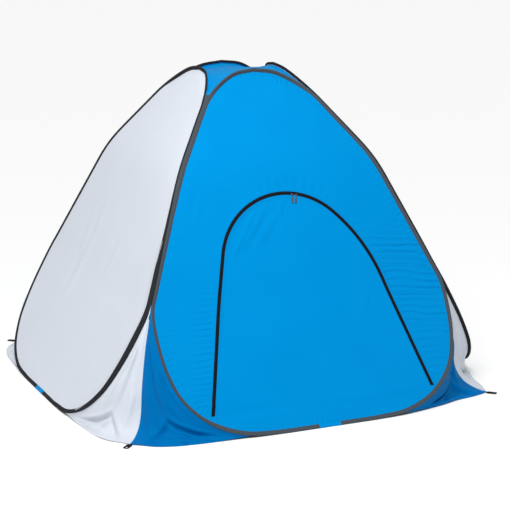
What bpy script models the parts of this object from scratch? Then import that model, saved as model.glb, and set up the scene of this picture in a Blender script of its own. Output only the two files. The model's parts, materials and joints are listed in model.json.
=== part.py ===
"""Pop-up ice fishing shelter: four sprung hoop walls leaning together into a pyramid.

Units are metres and +Z is up. The origin is on the ground at the centre of the shelter, and
the door wall faces -Y. Every wall is drawn flat, in (across, up the slope), and then bent onto
one shared wall profile. The front wall is turned about Z to make the other three.
"""
import math

import bmesh
import bpy
from mathutils import Matrix, Vector

# ---- driving dimensions ---------------------------------------------------------------------

# Wall profile: how far the wall stands out from the centre at each height. Three straight
# runs, rounded where they meet, because the sprung hoops bow outward.
BASE_REACH = 1.005
LEAN_LOW, LEAN_MID, LEAN_TOP = 0.556, 0.43, 0.74
LOW_KNEE, LOW_KNEE_SPAN = 0.44, 0.16
TOP_KNEE, TOP_KNEE_SPAN = 0.97, 0.20

# Hoop of spring wire.
WIRE_R = 0.002
WIRE_SIDES = 6
WIRE_CUT = 0.001               # half of the gap between the wire's ends, inside the ferrule
WIRE_CLEARANCE = 0.0006
HOOP_FOOT_Z = 0.0048           # wire centre above the ground along the straight foot
HOOP_TOP_Z = 1.464
RIDGE_GAP = 0.0088             # wall reach minus half width, where two hoops run side by side
RIDGE_LOW_Z, RIDGE_HIGH_Z = 0.60, 1.33
FERRULE_HALF = 0.03
FERRULE_SIDES = 8
FERRULE_R, FERRULE_BORE = 0.0031, 0.0026

# Binding sleeve that the wire runs in: a bead round the wire and a flat stitched to the panel.
BEAD_R = 0.005
SLEEVE_FLAT = 0.013
SLEEVE_GAP = 0.046             # half of the gap left in the sleeve at the foot
PATCH_BORE = 0.0036
BORE_SIDES = 7

# Fabric.
PANEL_T = 0.002
GUSSET_T = 0.0015
SEW_GAP = 0.0008
SEAM_OUT = BEAD_R + 0.0014     # from the wire to the edge of the gussets and roof cap

# Door in the front wall.
DOOR_FOOT_S = 0.116            # hinge line, up the slope from the ground
ARCH_X, ARCH_S, ARCH_R = -0.02, 0.727, 0.332
LEFT_LEAN, RIGHT_LEAN = math.radians(14.8), math.radians(13.9)
SHOULDER_AT = math.radians(45)
SHOULDER_R = 0.745
ZIP_TAPE = 0.008
ZIP_TAPE_T = 0.0016
FOOT_CUT = 0.0015              # each side of the hinge line
DOOR_HINGE_LIFT = 0.0016       # hinge line, off the middle of the fabric

# Zip sliders.
SLIDER_AT = {"left": math.radians(9.5), "right": math.radians(12.8)}
SLIDER_LENGTH, SLIDER_WIDTH, SLIDER_T = 0.012, 0.0085, 0.003
SLIDER_CORNER = 0.002
SLIDER_LIFT = 0.0016
PULL_LENGTH, PULL_WIDTH, PULL_CORNER = 0.034, 0.008, 0.0035
PULL_LOW, PULL_HIGH = SLIDER_LIFT + 0.0006, SLIDER_LIFT + 0.0024
PULL_HOLE_LENGTH, PULL_HOLE_WIDTH, PULL_HOLE_CORNER = 0.006, 0.003, 0.0014
PULL_HOLE_UP = 0.0102          # from the middle of the pull to the middle of its hole
PULL_PIVOT_LIFT = SLIDER_LIFT + 0.0018

# Corner gussets and peg loops.
GUSSET_FOOT_X = 0.36
GUSSET_TOP_Z = 0.49
PEG_CORNER = 0.868
SEAM_HALF = 0.0011             # each gusset half stops this far short of the corner plane
LOOP_LENGTH, LOOP_WIDTH, LOOP_T, LOOP_CORNER = 0.048, 0.026, 0.003, 0.008
LOOP_EYE_LENGTH, LOOP_EYE_WIDTH, LOOP_EYE_CORNER = 0.024, 0.014, 0.006
LOOP_EYE_OUT = 0.006
LOOP_START = 0.001             # from the corner's tip to the loop's root
ROOF_CORNER_Z = 1.355
ROOF_RELAX = 300               # passes that pull the roof cap taut

# The walls fold flat about their ridges. Two ridges close like a book on an axis just inside
# the hoops, and one opens on an axis outside them.
CLOSING_FOLD_OUT = -0.012
OPENING_FOLD_OUT = 0.050

WALL_TURN = {"front": 0.0, "right": 90.0, "back": 180.0, "left": 270.0}
WALL_COLOUR = {"front": "blue", "right": "white", "back": "blue", "left": "white"}


# ---- scene and materials --------------------------------------------------------------------

def clear_scene():
    for obj in list(bpy.data.objects):
        bpy.data.objects.remove(obj, do_unlink=True)


def make_material(name, colour, roughness, metallic=0.0):
    material = bpy.data.materials.new(name)
    material.use_nodes = True
    shader = material.node_tree.nodes["Principled BSDF"]
    shader.inputs["Base Color"].default_value = (*colour, 1.0)
    shader.inputs["Roughness"].default_value = roughness
    shader.inputs["Metallic"].default_value = metallic
    return material


def make_materials():
    return {
        "blue": make_material("blue_fabric", (0.0, 0.30, 0.75), 0.6),
        "white": make_material("white_fabric", (0.72, 0.77, 0.84), 0.65),
        "grey": make_material("grey_binding", (0.08, 0.10, 0.12), 0.8),
        "charcoal": make_material("charcoal_binding", (0.02, 0.022, 0.025), 0.8),
        "webbing": make_material("black_webbing", (0.01, 0.01, 0.01), 0.85),
        "tape": make_material("zip_tape", (0.03, 0.035, 0.04), 0.75),
        "steel": make_material("spring_steel", (0.45, 0.45, 0.46), 0.35, 1.0),
        "zinc": make_material("zip_metal", (0.35, 0.36, 0.37), 0.4, 1.0),
    }


def add_object(name, bm, material, body, turn=0.0, thickness=0.0):
    """Finish a bmesh as one named object, turned about Z in degrees.

    A piece of a moving body is hung from the empty on that body's joint axis.
    """
    bmesh.ops.recalc_face_normals(bm, faces=bm.faces)
    mesh = bpy.data.meshes.new(name)
    bm.to_mesh(mesh)
    bm.free()
    mesh.materials.append(material)
    obj = bpy.data.objects.new(name, mesh)
    bpy.context.collection.objects.link(obj)
    obj.rotation_euler.z = math.radians(turn)
    axis = bpy.data.objects.get(f"{body}_axis")
    if axis:
        obj.parent = axis
        obj.location = -axis.location
    if thickness:
        solid = obj.modifiers.new("thickness", "SOLIDIFY")
        solid.thickness = thickness
        solid.offset = 0.0
        solid.use_even_offset = True
    return obj


# ---- wall profile ---------------------------------------------------------------------------

def knee(height, start, span):
    """Integral of a smooth step from 0 to 1 that begins at start and takes span."""
    t = (height - start) / span
    if t <= 0.0:
        return 0.0
    if t >= 1.0:
        return span * (t - 0.5)
    return span * (t ** 3 - t ** 4 / 2)


def reach(z):
    """Distance of the wall from the centre at height z."""
    return (BASE_REACH - LEAN_LOW * z
            + (LEAN_LOW - LEAN_MID) * knee(z, LOW_KNEE, LOW_KNEE_SPAN)
            - (LEAN_TOP - LEAN_MID) * knee(z, TOP_KNEE, TOP_KNEE_SPAN))


PROFILE_STEP = 0.005


def profile_table():
    """Slope distance at each PROFILE_STEP of height."""
    table = [0.0]
    for i in range(int(1.6 / PROFILE_STEP)):
        low, high = i * PROFILE_STEP, (i + 1) * PROFILE_STEP
        table.append(table[-1] + math.hypot(PROFILE_STEP, reach(high) - reach(low)))
    return table


PROFILE = profile_table()


def slope_at(z):
    """Distance up the slope at height z."""
    i = int(z / PROFILE_STEP)
    t = z / PROFILE_STEP - i
    return PROFILE[i] * (1 - t) + PROFILE[i + 1] * t


def height_at(s):
    """Height at distance s up the slope. Below the ground it runs straight on."""
    if s <= 0.0:
        return s * PROFILE_STEP / PROFILE[1]
    low, high = 0, len(PROFILE) - 1
    while high - low > 1:
        mid = (low + high) // 2
        if PROFILE[mid] <= s:
            low = mid
        else:
            high = mid
    return (low + (s - PROFILE[low]) / (PROFILE[high] - PROFILE[low])) * PROFILE_STEP


def on_wall(x, s, lift=0.0):
    """Point of the front wall, x across and s up the slope, raised by lift off its outside."""
    z = height_at(s)
    slope = (reach(z - 0.002) - reach(z + 0.002)) / 0.004
    normal = Vector((0.0, -1.0, slope)).normalized()
    return Vector((x, -reach(z), z)) + normal * lift


# ---- curves ---------------------------------------------------------------------------------

def spline(stations, per_span=24):
    """Centripetal Catmull-Rom curve through 2-D or 3-D stations, ends included."""
    points = [Vector(p) for p in stations]
    points = [points[0] * 2 - points[1]] + points + [points[-1] * 2 - points[-2]]
    curve = []
    for p0, p1, p2, p3 in zip(points, points[1:], points[2:], points[3:]):
        t1 = (p1 - p0).length ** 0.5
        t2 = t1 + (p2 - p1).length ** 0.5
        t3 = t2 + (p3 - p2).length ** 0.5
        for k in range(per_span):
            t = t1 + (t2 - t1) * k / per_span
            a1 = p0 * ((t1 - t) / t1) + p1 * (t / t1)
            a2 = p1 * ((t2 - t) / (t2 - t1)) + p2 * ((t - t1) / (t2 - t1))
            a3 = p2 * ((t3 - t) / (t3 - t2)) + p3 * ((t - t2) / (t3 - t2))
            b1 = a1 * ((t2 - t) / t2) + a2 * (t / t2)
            b2 = a2 * ((t3 - t) / (t3 - t1)) + a3 * ((t - t1) / (t3 - t1))
            curve.append(b1 * ((t2 - t) / (t2 - t1)) + b2 * ((t - t1) / (t2 - t1)))
    curve.append(points[-2])
    return curve


def resample(curve, count, turn_weight=0.0):
    """Spread count + 1 points along a curve, closer together where it turns."""
    cost = [0.0]
    for i in range(1, len(curve)):
        step = curve[i] - curve[i - 1]
        turn = step.angle(curve[i - 1] - curve[i - 2]) if i > 1 else 0.0
        cost.append(cost[-1] + step.length + turn_weight * turn)
    points = []
    j = 0
    for k in range(count + 1):
        goal = cost[-1] * k / count
        while j < len(cost) - 2 and cost[j + 1] < goal:
            j += 1
        t = (goal - cost[j]) / (cost[j + 1] - cost[j])
        points.append(curve[j].lerp(curve[j + 1], min(max(t, 0.0), 1.0)))
    return points


def hoop_outline(count=26):
    """Half of the hoop's wire, flat on the wall, from the middle of its foot to its top."""
    foot = slope_at(HOOP_FOOT_Z)
    stations = [(0.0, foot), (0.10, foot), (0.24, foot + 0.001)]
    stations += [(x, slope_at(z)) for x, z in ((0.40, 0.020), (0.545, 0.077), (0.648, 0.175),
                                               (0.694, 0.29), (0.709, 0.41), (0.704, 0.52))]
    steps = 9
    for i in range(steps + 1):
        z = RIDGE_LOW_Z + (RIDGE_HIGH_Z - RIDGE_LOW_Z) * i / steps
        stations.append((reach(z) - RIDGE_GAP, slope_at(z)))
    stations += [(x, slope_at(z)) for x, z in ((0.20, 1.397), (0.10, 1.449), (0.0, HOOP_TOP_Z))]
    outline = resample(spline(stations), count, turn_weight=0.30)
    return [Vector((min(p.x, reach(height_at(p.y)) - RIDGE_GAP), p.y)) for p in outline]


HALF_HOOP = hoop_outline()
HOOP = HALF_HOOP + [Vector((-p.x, p.y)) for p in reversed(HALF_HOOP[1:-1])]


def outward(outline, i):
    """Unit normal of a closed flat outline at point i, pointing out of it."""
    along = outline[(i + 1) % len(outline)] - outline[i - 1]
    return Vector((along.y, -along.x)).normalized()


def offset_hoop(distance):
    return [p + outward(HOOP, i) * distance for i, p in enumerate(HOOP)]


# ---- sweeps along the hoop ------------------------------------------------------------------

def hoop_stretch(cut):
    """Flat positions and normals round the hoop, starting and ending cut away from x = 0."""
    stretch = [(Vector((cut, HOOP[0].y)), Vector((0.0, -1.0)))]
    stretch += [(p, outward(HOOP, i)) for i, p in enumerate(HOOP) if i]
    stretch.append((Vector((-cut, HOOP[0].y)), Vector((0.0, -1.0))))
    return stretch


def sweep(stretch, profile, bore=None):
    """Solid along a stretch. Profiles are rings of (out, lift); a bore ring leaves it open."""
    bm = bmesh.new()

    def rings(ring):
        return [[bm.verts.new(on_wall(p.x + n.x * out, p.y + n.y * out, lift))
                 for out, lift in ring] for p, n in stretch]

    def skin(loops):
        for a, b in zip(loops, loops[1:]):
            for i in range(len(a)):
                j = (i + 1) % len(a)
                bm.faces.new((a[i], a[j], b[j], b[i]))

    outer = rings(profile)
    skin(outer)
    if bore is None:
        bm.faces.new(outer[0])
        bm.faces.new(outer[-1])
    else:
        inner = rings(bore)
        skin(inner)
        for end in (0, -1):
            for i in range(len(profile)):
                j = (i + 1) % len(profile)
                bm.faces.new((outer[end][i], outer[end][j], inner[end][j], inner[end][i]))
    return bm


def ring(radius, sides):
    """Ring of (out, lift) points whose flats lie at the radius."""
    corner = radius / math.cos(math.pi / sides)
    return [(corner * math.cos(math.tau * i / sides), corner * math.sin(math.tau * i / sides))
            for i in range(sides)]


def sleeve_profile():
    """Bead round the wire, then a flat running in to the panel."""
    flat = PANEL_T * 0.75
    half = [(BEAD_R, 0.0), (BEAD_R * 0.45, BEAD_R * 0.9), (-BEAD_R * 0.8, BEAD_R * 0.75),
            (-SLEEVE_FLAT, flat)]
    return half + [(out, -lift) for out, lift in reversed(half[1:])]


def make_hoop(wall, materials):
    turn = WALL_TURN[wall]
    binding = materials["grey"] if wall == "front" else materials["charcoal"]
    body = f"{wall}_wall"
    wire = sweep(hoop_stretch(WIRE_CUT), ring(WIRE_R, WIRE_SIDES))
    add_object(f"{wall}_hoop_wire", wire, materials["steel"], body, turn)

    foot = HOOP[0].y
    down = Vector((0.0, -1.0))
    short = [(Vector((x, foot)), down) for x in (-FERRULE_HALF, FERRULE_HALF)]
    ferrule = sweep(short, ring(FERRULE_R, FERRULE_SIDES), ring(FERRULE_BORE, FERRULE_SIDES))
    add_object(f"{wall}_hoop_ferrule", ferrule, materials["zinc"], body, turn)

    bore = ring(WIRE_R + WIRE_CLEARANCE, BORE_SIDES)
    sleeve = sweep(hoop_stretch(SLEEVE_GAP), sleeve_profile(), bore)
    add_object(f"{wall}_hoop_sleeve", sleeve, binding, body, turn)

    half = SLEEVE_GAP - SEW_GAP
    short = [(Vector((x, foot)), down) for x in (-half, half)]
    patch = sweep(short, sleeve_profile(), ring(PATCH_BORE, BORE_SIDES))
    add_object(f"{wall}_sleeve_patch", patch, materials["blue"], body, turn)


# ---- flat pattern pieces bent onto the wall -------------------------------------------------

def bend_rows():
    """Slope distances where a flat piece needs a fold line to follow the profile."""
    rows = []
    for start, span, count in ((LOW_KNEE, LOW_KNEE_SPAN, 4), (TOP_KNEE, TOP_KNEE_SPAN, 6)):
        rows += [slope_at(start + span * (i + 0.5) / count) for i in range(count)]
    return rows


def pattern_piece(outlines, lift=0.0):
    """Sheet between flat outlines, an outer one and any holes, bent onto the wall."""
    bm = bmesh.new()
    edges = []
    for outline in outlines:
        verts = [bm.verts.new((p[0], p[1], 0.0)) for p in outline]
        edges += [bm.edges.new((a, b)) for a, b in zip(verts, verts[1:] + verts[:1])]
    bmesh.ops.triangle_fill(bm, edges=edges, use_beauty=True, normal=(0.0, 0.0, 1.0))
    for s in bend_rows():
        geometry = bm.verts[:] + bm.edges[:] + bm.faces[:]
        bmesh.ops.bisect_plane(bm, geom=geometry, dist=1e-7, plane_co=(0.0, s, 0.0),
                               plane_no=(0.0, 1.0, 0.0))
    for vert in bm.verts:
        vert.co = on_wall(vert.co.x, vert.co.y, lift)
    return bm


def arch_points(out, foot):
    """Door arch, flat, from the foot of its left leg over to its right, offset out by out."""
    points = []

    def leg(centre_x, centre_s, radius, lean, side):
        """Points up a straight leg to where it meets its arc."""
        normal = Vector((side * math.cos(lean), math.sin(lean)))
        top = Vector((centre_x, centre_s)) + normal * (radius + out)
        down = Vector((side * math.sin(lean), -math.cos(lean)))
        length = (top.y - foot) / math.cos(lean)
        count = 7
        return [top + down * (length * (1 - i / count)) for i in range(count + 1)]

    points += leg(ARCH_X, ARCH_S, ARCH_R, LEFT_LEAN, -1)
    begin, end = math.pi - LEFT_LEAN, SHOULDER_AT
    count = 14
    for i in range(1, count + 1):
        a = begin + (end - begin) * i / count
        points.append(Vector((ARCH_X + (ARCH_R + out) * math.cos(a),
                              ARCH_S + (ARCH_R + out) * math.sin(a))))
    back = ARCH_R - SHOULDER_R
    centre_x = ARCH_X + back * math.cos(SHOULDER_AT)
    centre_s = ARCH_S + back * math.sin(SHOULDER_AT)
    count = 6
    for i in range(1, count):
        a = SHOULDER_AT + (RIGHT_LEAN - SHOULDER_AT) * i / count
        points.append(Vector((centre_x + (SHOULDER_R + out) * math.cos(a),
                              centre_s + (SHOULDER_R + out) * math.sin(a))))
    points += reversed(leg(centre_x, centre_s, SHOULDER_R, RIGHT_LEAN, 1))
    return points


def make_panels(materials):
    edge = offset_hoop(-SLEEVE_FLAT - SEW_GAP)
    for wall, turn in WALL_TURN.items():
        outlines = [edge]
        if wall == "front":
            outlines.append(arch_points(ZIP_TAPE + SEW_GAP, DOOR_FOOT_S - FOOT_CUT))
        sheet = pattern_piece(outlines)
        add_object(f"{wall}_panel", sheet, materials[WALL_COLOUR[wall]], f"{wall}_wall", turn,
                   PANEL_T)


def make_door(materials):
    foot = DOOR_FOOT_S + FOOT_CUT
    flap = pattern_piece([arch_points(-ZIP_TAPE - SEW_GAP, foot)])
    add_object("door_flap", flap, materials["blue"], "door", thickness=PANEL_T)
    for side, body, low, high in (("wall", "front_wall", SEW_GAP / 2, ZIP_TAPE),
                                  ("flap", "door", -ZIP_TAPE, -SEW_GAP / 2)):
        band = arch_points(high, foot) + list(reversed(arch_points(low, foot)))
        add_object(f"door_zip_tape_{side}_side", pattern_piece([band]), materials["tape"], body,
                   thickness=ZIP_TAPE_T)


# ---- zip sliders and pulls ------------------------------------------------------------------

def arch_frame(angle, inset):
    """Frame on the arch at an angle right of its top: X along the zip, Y up, Z off the wall."""
    across = Vector((math.sin(angle), math.cos(angle)))
    flat = Vector((ARCH_X, ARCH_S)) + across * (ARCH_R - inset)
    origin = on_wall(flat.x, flat.y)
    outer = on_wall(flat.x + across.x * 0.001, flat.y + across.y * 0.001)
    up = (outer - origin).normalized()
    off = (on_wall(flat.x, flat.y, 0.001) - origin).normalized()
    along = up.cross(off)
    frame = Matrix((along, up, off)).transposed().to_4x4()
    return Matrix.Translation(origin) @ frame


def slab(bm, outline, low, high):
    """Extruded flat outline between two heights, as its own closed shell."""
    base = [bm.verts.new((x, y, low)) for x, y in outline]
    top = [bm.verts.new((x, y, high)) for x, y in outline]
    bm.faces.new(base)
    bm.faces.new(top)
    for i in range(len(outline)):
        j = (i + 1) % len(outline)
        bm.faces.new((base[i], base[j], top[j], top[i]))


def rounded(length, width, radius, corner_steps=3):
    """Rectangle with round corners, centred, as (x, y) points."""
    points = []
    for quarter in range(4):
        cx = (length / 2 - radius) * (1 if quarter in (0, 3) else -1)
        cy = (width / 2 - radius) * (1 if quarter in (0, 1) else -1)
        for i in range(corner_steps + 1):
            a = math.pi / 2 * (quarter + i / corner_steps)
            points.append((cx + radius * math.cos(a), cy + radius * math.sin(a)))
    return points


def ring_plate(bm, outer, inner, low, high):
    """Flat ring between two outlines with as many points each."""
    loops = [[bm.verts.new((x, y, z)) for x, y in line]
             for z in (low, high) for line in (outer, inner)]
    low_out, low_in, high_out, high_in = loops
    for i in range(len(outer)):
        j = (i + 1) % len(outer)
        bm.faces.new((low_out[i], low_out[j], low_in[j], low_in[i]))
        bm.faces.new((high_out[i], high_out[j], high_in[j], high_in[i]))
        bm.faces.new((low_out[i], low_out[j], high_out[j], high_out[i]))
        bm.faces.new((low_in[i], low_in[j], high_in[j], high_in[i]))


def slider_frame(side):
    return arch_frame(SLIDER_AT[side], SLIDER_WIDTH / 2 + SEW_GAP)


def make_sliders(materials):
    for side in SLIDER_AT:
        frame = slider_frame(side)
        bm = bmesh.new()
        slab(bm, rounded(SLIDER_LENGTH, SLIDER_WIDTH, SLIDER_CORNER), SLIDER_LIFT,
             SLIDER_LIFT + SLIDER_T)
        bm.transform(frame)
        add_object(f"{side}_zip_slider", bm, materials["zinc"], f"{side}_slider")

        bm = bmesh.new()
        middle = -SLIDER_WIDTH / 2 - SEW_GAP - PULL_LENGTH / 2
        hole = rounded(PULL_HOLE_LENGTH, PULL_HOLE_WIDTH, PULL_HOLE_CORNER)
        outer = [(x, y + middle) for y, x in rounded(PULL_LENGTH, PULL_WIDTH, PULL_CORNER)]
        inner = [(x, y + middle + PULL_HOLE_UP) for y, x in hole]
        ring_plate(bm, outer, inner, PULL_LOW, PULL_HIGH)
        bm.transform(frame)
        add_object(f"{side}_zip_pull", bm, materials["zinc"], f"{side}_pull")


# ---- gussets, roof cap and peg loops --------------------------------------------------------

def coons(left, right, top, bottom):
    """Grid of points between four boundary curves. left and right run from top to bottom."""
    rows, columns = len(left), len(top)
    grid = []
    for i in range(rows):
        v = i / (rows - 1)
        line = []
        for j in range(columns):
            u = j / (columns - 1)
            corner = ((top[0] * (1 - u) + top[-1] * u) * (1 - v)
                      + (bottom[0] * (1 - u) + bottom[-1] * u) * v)
            line.append(left[i] * (1 - u) + right[i] * u + top[j] * (1 - v) + bottom[j] * v - corner)
        grid.append(line)
    return grid


def grid_sheet(grid):
    bm = bmesh.new()
    verts = [[bm.verts.new(p) for p in line] for line in grid]
    for upper, lower in zip(verts, verts[1:]):
        for j in range(len(upper) - 1):
            bm.faces.new((upper[j], upper[j + 1], lower[j + 1], lower[j]))
    return bm


def gusset_grid():
    """Front wall's right-hand gusset: from the hoop's lower corner to the corner seam."""
    edge = [p + outward(HOOP, i) * SEAM_OUT for i, p in enumerate(HOOP[:len(HALF_HOOP)])]
    ridge_s = slope_at(GUSSET_TOP_Z)
    left = [on_wall(p.x, p.y) for p in reversed(edge) if p.x > GUSSET_FOOT_X and p.y < ridge_s]
    rows, columns = len(left) - 1, 5

    seam_offset = Vector((-SEAM_HALF, -SEAM_HALF, 0.0))
    stations = [(0.722, 0.480), (0.751, 0.390), (0.773, 0.300), (0.790, 0.200), (0.798, 0.100),
                (0.812, 0.048), (0.836, 0.018), (PEG_CORNER, 0.0035)]
    curve = spline([(r, -r, z) for r, z in stations])
    right = [p + seam_offset for p in resample(curve, rows)]

    hem = spline([left[-1], (0.56, -0.986, 0.004), (0.69, -0.970, 0.003), (0.78, -0.937, 0.003),
                  (0.832, -0.893, 0.003), right[-1]])
    bottom = resample(hem, columns)
    top = [left[0].lerp(right[0], j / columns) for j in range(columns + 1)]
    return coons(left, right, top, bottom)


def mirrored(grid):
    """The same grid on the front wall's left-hand side."""
    return [[Vector((-p.x, p.y, p.z)) for p in line] for line in grid]


def make_gussets(materials):
    right_hand = gusset_grid()
    left_hand = mirrored(right_hand)
    # Seen from outside, each wall's right-hand side meets the next wall's left-hand side.
    sides = {"front": ("front_right", "front_left"), "right": ("back_right", "front_right"),
             "back": ("back_left", "back_right"), "left": ("front_left", "back_left")}
    for wall, corners in sides.items():
        colour = WALL_COLOUR[wall]
        for corner, grid in zip(corners, (right_hand, left_hand)):
            add_object(f"{corner}_gusset_{colour}", grid_sheet(grid), materials[colour],
                       f"{wall}_wall", WALL_TURN[wall], GUSSET_T)


def make_peg_loops(materials):
    eye = rounded(LOOP_EYE_LENGTH, LOOP_EYE_WIDTH, LOOP_EYE_CORNER)
    middle = PEG_CORNER * math.sqrt(2) + LOOP_START + LOOP_LENGTH / 2
    for corner, body, turn in (("front_right", "front_wall", -45),
                               ("back_right", "right_wall", 45),
                               ("back_left", "left_wall", 135),
                               ("front_left", "front_wall", 225)):
        bm = bmesh.new()
        outer = rounded(LOOP_LENGTH, LOOP_WIDTH, LOOP_CORNER)
        ring_plate(bm, outer, [(x + LOOP_EYE_OUT, y) for x, y in eye], 0.0, LOOP_T)
        bm.transform(Matrix.Translation((middle, 0.0, 0.0)))
        add_object(f"{corner}_peg_loop", bm, materials["webbing"], body, turn)


def roof_grid():
    """Cap between the four hoop tops: a net relaxed to a stretched sheet."""
    low_s = slope_at(ROOF_CORNER_Z)
    arc = [p + outward(HOOP, i) * SEAM_OUT for i, p in enumerate(HOOP)]
    arc = [on_wall(p.x, p.y) for p in reversed(arc) if p.y > low_s]
    arcs = [[Matrix.Rotation(math.radians(a), 3, "Z") @ p for p in arc]
            for a in (0, 90, 180, 270)]
    for this, following in zip(arcs, arcs[1:] + arcs[:1]):
        corner = (this[-1] + following[0]) / 2
        this[-1] = following[0] = corner
    front, right, back, left = arcs
    count = len(front) - 1
    grid = coons(left[::-1], right, front, back[::-1])
    for _ in range(ROOF_RELAX):
        for i in range(1, count):
            for j in range(1, count):
                around = grid[i - 1][j].z + grid[i + 1][j].z + grid[i][j - 1].z + grid[i][j + 1].z
                grid[i][j].z = around / 4
    return grid


def make_roof(materials):
    add_object("roof_cap", grid_sheet(roof_grid()), materials["blue"], "front_wall",
               thickness=GUSSET_T)


# ---- joint axes -----------------------------------------------------------------------------

def fold_point(side_x, side_y, out):
    """Where the fold axis at a ridge passes the ridge's foot."""
    r = reach(RIDGE_LOW_Z) - RIDGE_GAP / 2 + out
    return Vector((side_x * r, side_y * r, RIDGE_LOW_Z))


def pull_pivot(side):
    pivot = Vector((0.0, -SLIDER_WIDTH / 2 - SEW_GAP, PULL_PIVOT_LIFT))
    return slider_frame(side) @ pivot


def make_axes():
    """One empty on each moving body's joint axis."""
    arch_centre = on_wall(ARCH_X, ARCH_S)
    points = {
        "left_wall": fold_point(-1, -1, OPENING_FOLD_OUT),
        "right_wall": fold_point(1, -1, CLOSING_FOLD_OUT),
        "back_wall": fold_point(-1, 1, CLOSING_FOLD_OUT),
        "door": on_wall(0.0, DOOR_FOOT_S, DOOR_HINGE_LIFT),
        "left_slider": arch_centre,
        "right_slider": arch_centre,
        "left_pull": pull_pivot("left"),
        "right_pull": pull_pivot("right"),
    }
    for body, point in points.items():
        empty = bpy.data.objects.new(f"{body}_axis", None)
        empty.location = point
        bpy.context.collection.objects.link(empty)


def main():
    clear_scene()
    materials = make_materials()
    make_axes()
    for wall in WALL_TURN:
        make_hoop(wall, materials)
    make_panels(materials)
    make_door(materials)
    make_sliders(materials)
    make_gussets(materials)
    make_peg_loops(materials)
    make_roof(materials)


main()
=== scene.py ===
import json
import math

import bpy
import numpy as np
from mathutils import Matrix, Vector

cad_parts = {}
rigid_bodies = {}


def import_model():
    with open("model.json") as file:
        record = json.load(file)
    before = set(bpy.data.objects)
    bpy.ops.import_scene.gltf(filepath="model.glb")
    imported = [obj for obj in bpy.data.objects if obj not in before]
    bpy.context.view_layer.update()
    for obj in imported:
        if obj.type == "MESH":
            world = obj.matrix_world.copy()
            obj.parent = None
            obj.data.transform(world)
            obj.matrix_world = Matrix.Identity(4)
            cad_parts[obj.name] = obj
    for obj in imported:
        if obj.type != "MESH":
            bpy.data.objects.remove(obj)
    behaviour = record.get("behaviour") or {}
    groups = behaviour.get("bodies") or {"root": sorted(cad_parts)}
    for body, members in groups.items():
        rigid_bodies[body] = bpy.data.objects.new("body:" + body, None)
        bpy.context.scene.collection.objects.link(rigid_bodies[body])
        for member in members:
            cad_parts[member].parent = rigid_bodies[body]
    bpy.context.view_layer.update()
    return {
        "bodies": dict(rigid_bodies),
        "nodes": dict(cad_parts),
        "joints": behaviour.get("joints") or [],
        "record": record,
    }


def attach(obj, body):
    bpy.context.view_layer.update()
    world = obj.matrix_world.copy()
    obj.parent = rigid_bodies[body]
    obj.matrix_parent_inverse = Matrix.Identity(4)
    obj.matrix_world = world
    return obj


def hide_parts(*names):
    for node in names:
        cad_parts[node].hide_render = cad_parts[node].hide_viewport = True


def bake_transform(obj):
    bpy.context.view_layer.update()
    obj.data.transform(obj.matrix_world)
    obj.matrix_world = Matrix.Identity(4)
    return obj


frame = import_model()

# ---- sizes, in metres ----
# The wall profile, hoop and door arch are the part's own, so that the fabric follows the frame.
# A wall is drawn flat: x runs across it and s up its slope from the floor.

# Wall profile: reach from the centre at the floor, lean in three parts, and the two soft knees.
BASE_REACH = 1.005
LEAN_LOW, LEAN_MID, LEAN_TOP = 0.556, 0.43, 0.74
LOW_KNEE, LOW_KNEE_SPAN = 0.44, 0.16
TOP_KNEE, TOP_KNEE_SPAN = 0.97, 0.20

# Hoops and their bindings
HOOP_FOOT_Z, HOOP_TOP_Z = 0.0048, 1.464
RIDGE_GAP = 0.0088            # from a wire to the ridge beside it
RIDGE_LOW_Z, RIDGE_HIGH_Z = 0.60, 1.33
WIRE_R = 0.002
BEAD_R = 0.0049               # the binding's bead, round the wire
SLEEVE_FLAT = 0.0135          # from the wire to the binding's inner edge
SLEEVE_GAP = 0.046            # half of the binding's opening, under the patch
SEAM_IN = 0.0030              # from the binding's inner edge to its stitches
TOP_TURN, SIDE_TURN = math.radians(38), math.radians(60)
PANEL_IN, PANEL_IN_TURNED = 0.004, 0.005    # a panel's edge inside the wire, and more if turned

# Door and zip
DOOR_FOOT_S = 0.116
ARCH_X, ARCH_S, ARCH_R = -0.02, 0.727, 0.332
LEFT_LEAN, RIGHT_LEAN = math.radians(14.8), math.radians(13.9)
SHOULDER_AT, SHOULDER_R = math.radians(45), 0.745
ZIP_BAND = 0.0084             # half width of black zip that shows
TAPE_HALF = 0.0102            # half width of the two tapes, partly under the cloth
TEETH_PITCH, TOOTH_SIZE = 0.0024, (0.0034, 0.0008, 0.0008)
TOPSTITCH = {"near": 0.0035, "far": 0.0100}         # from the zip's band

# Sliders and pulls. A plate is (length, width, corner radius), a span its heights off the wall.
SLIDER_AT = {"left": math.radians(9.5), "right": math.radians(12.8)}
SLIDER_INSET = 0.00505        # from the zip's middle down to the slider's
SLIDER_PLATE, SLIDER_SPAN, SLIDER_TAPER = (0.012, 0.0078, 0.0025), (0.0020, 0.0034), 18
BRIDGE_PLATE, BRIDGE_SPAN = (0.008, 0.0022, 0.001), (0.0030, 0.0046)
PULL_PLATE, PULL_SPAN, PULL_TAPER = (0.034, 0.0072, 0.0034), (0.0024, 0.0036), 7.2
PULL_HOLE, PULL_HOLE_UP = (0.007, 0.0034, 0.0016), 0.0115

# Gussets, peg loops and roof
GUSSET_FOOT_X, GUSSET_TOP_Z, PEG_CORNER = 0.36, 0.49, 0.868
LOOP_LENGTH, LOOP_WIDTH, LOOP_T, LOOP_R = 0.048, 0.026, 0.003, 0.008
EYE_PLATE, EYE_OUT = (0.016, 0.009, 0.004), 0.010
ROOF_CORNER_Z = 1.355

# Cloth and thread
SKIN = 0.0006                 # thickness of the fabric
STITCH_STEP, STITCH_LENGTH, STITCH_R = 0.005, 0.0034, 0.00035

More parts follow.
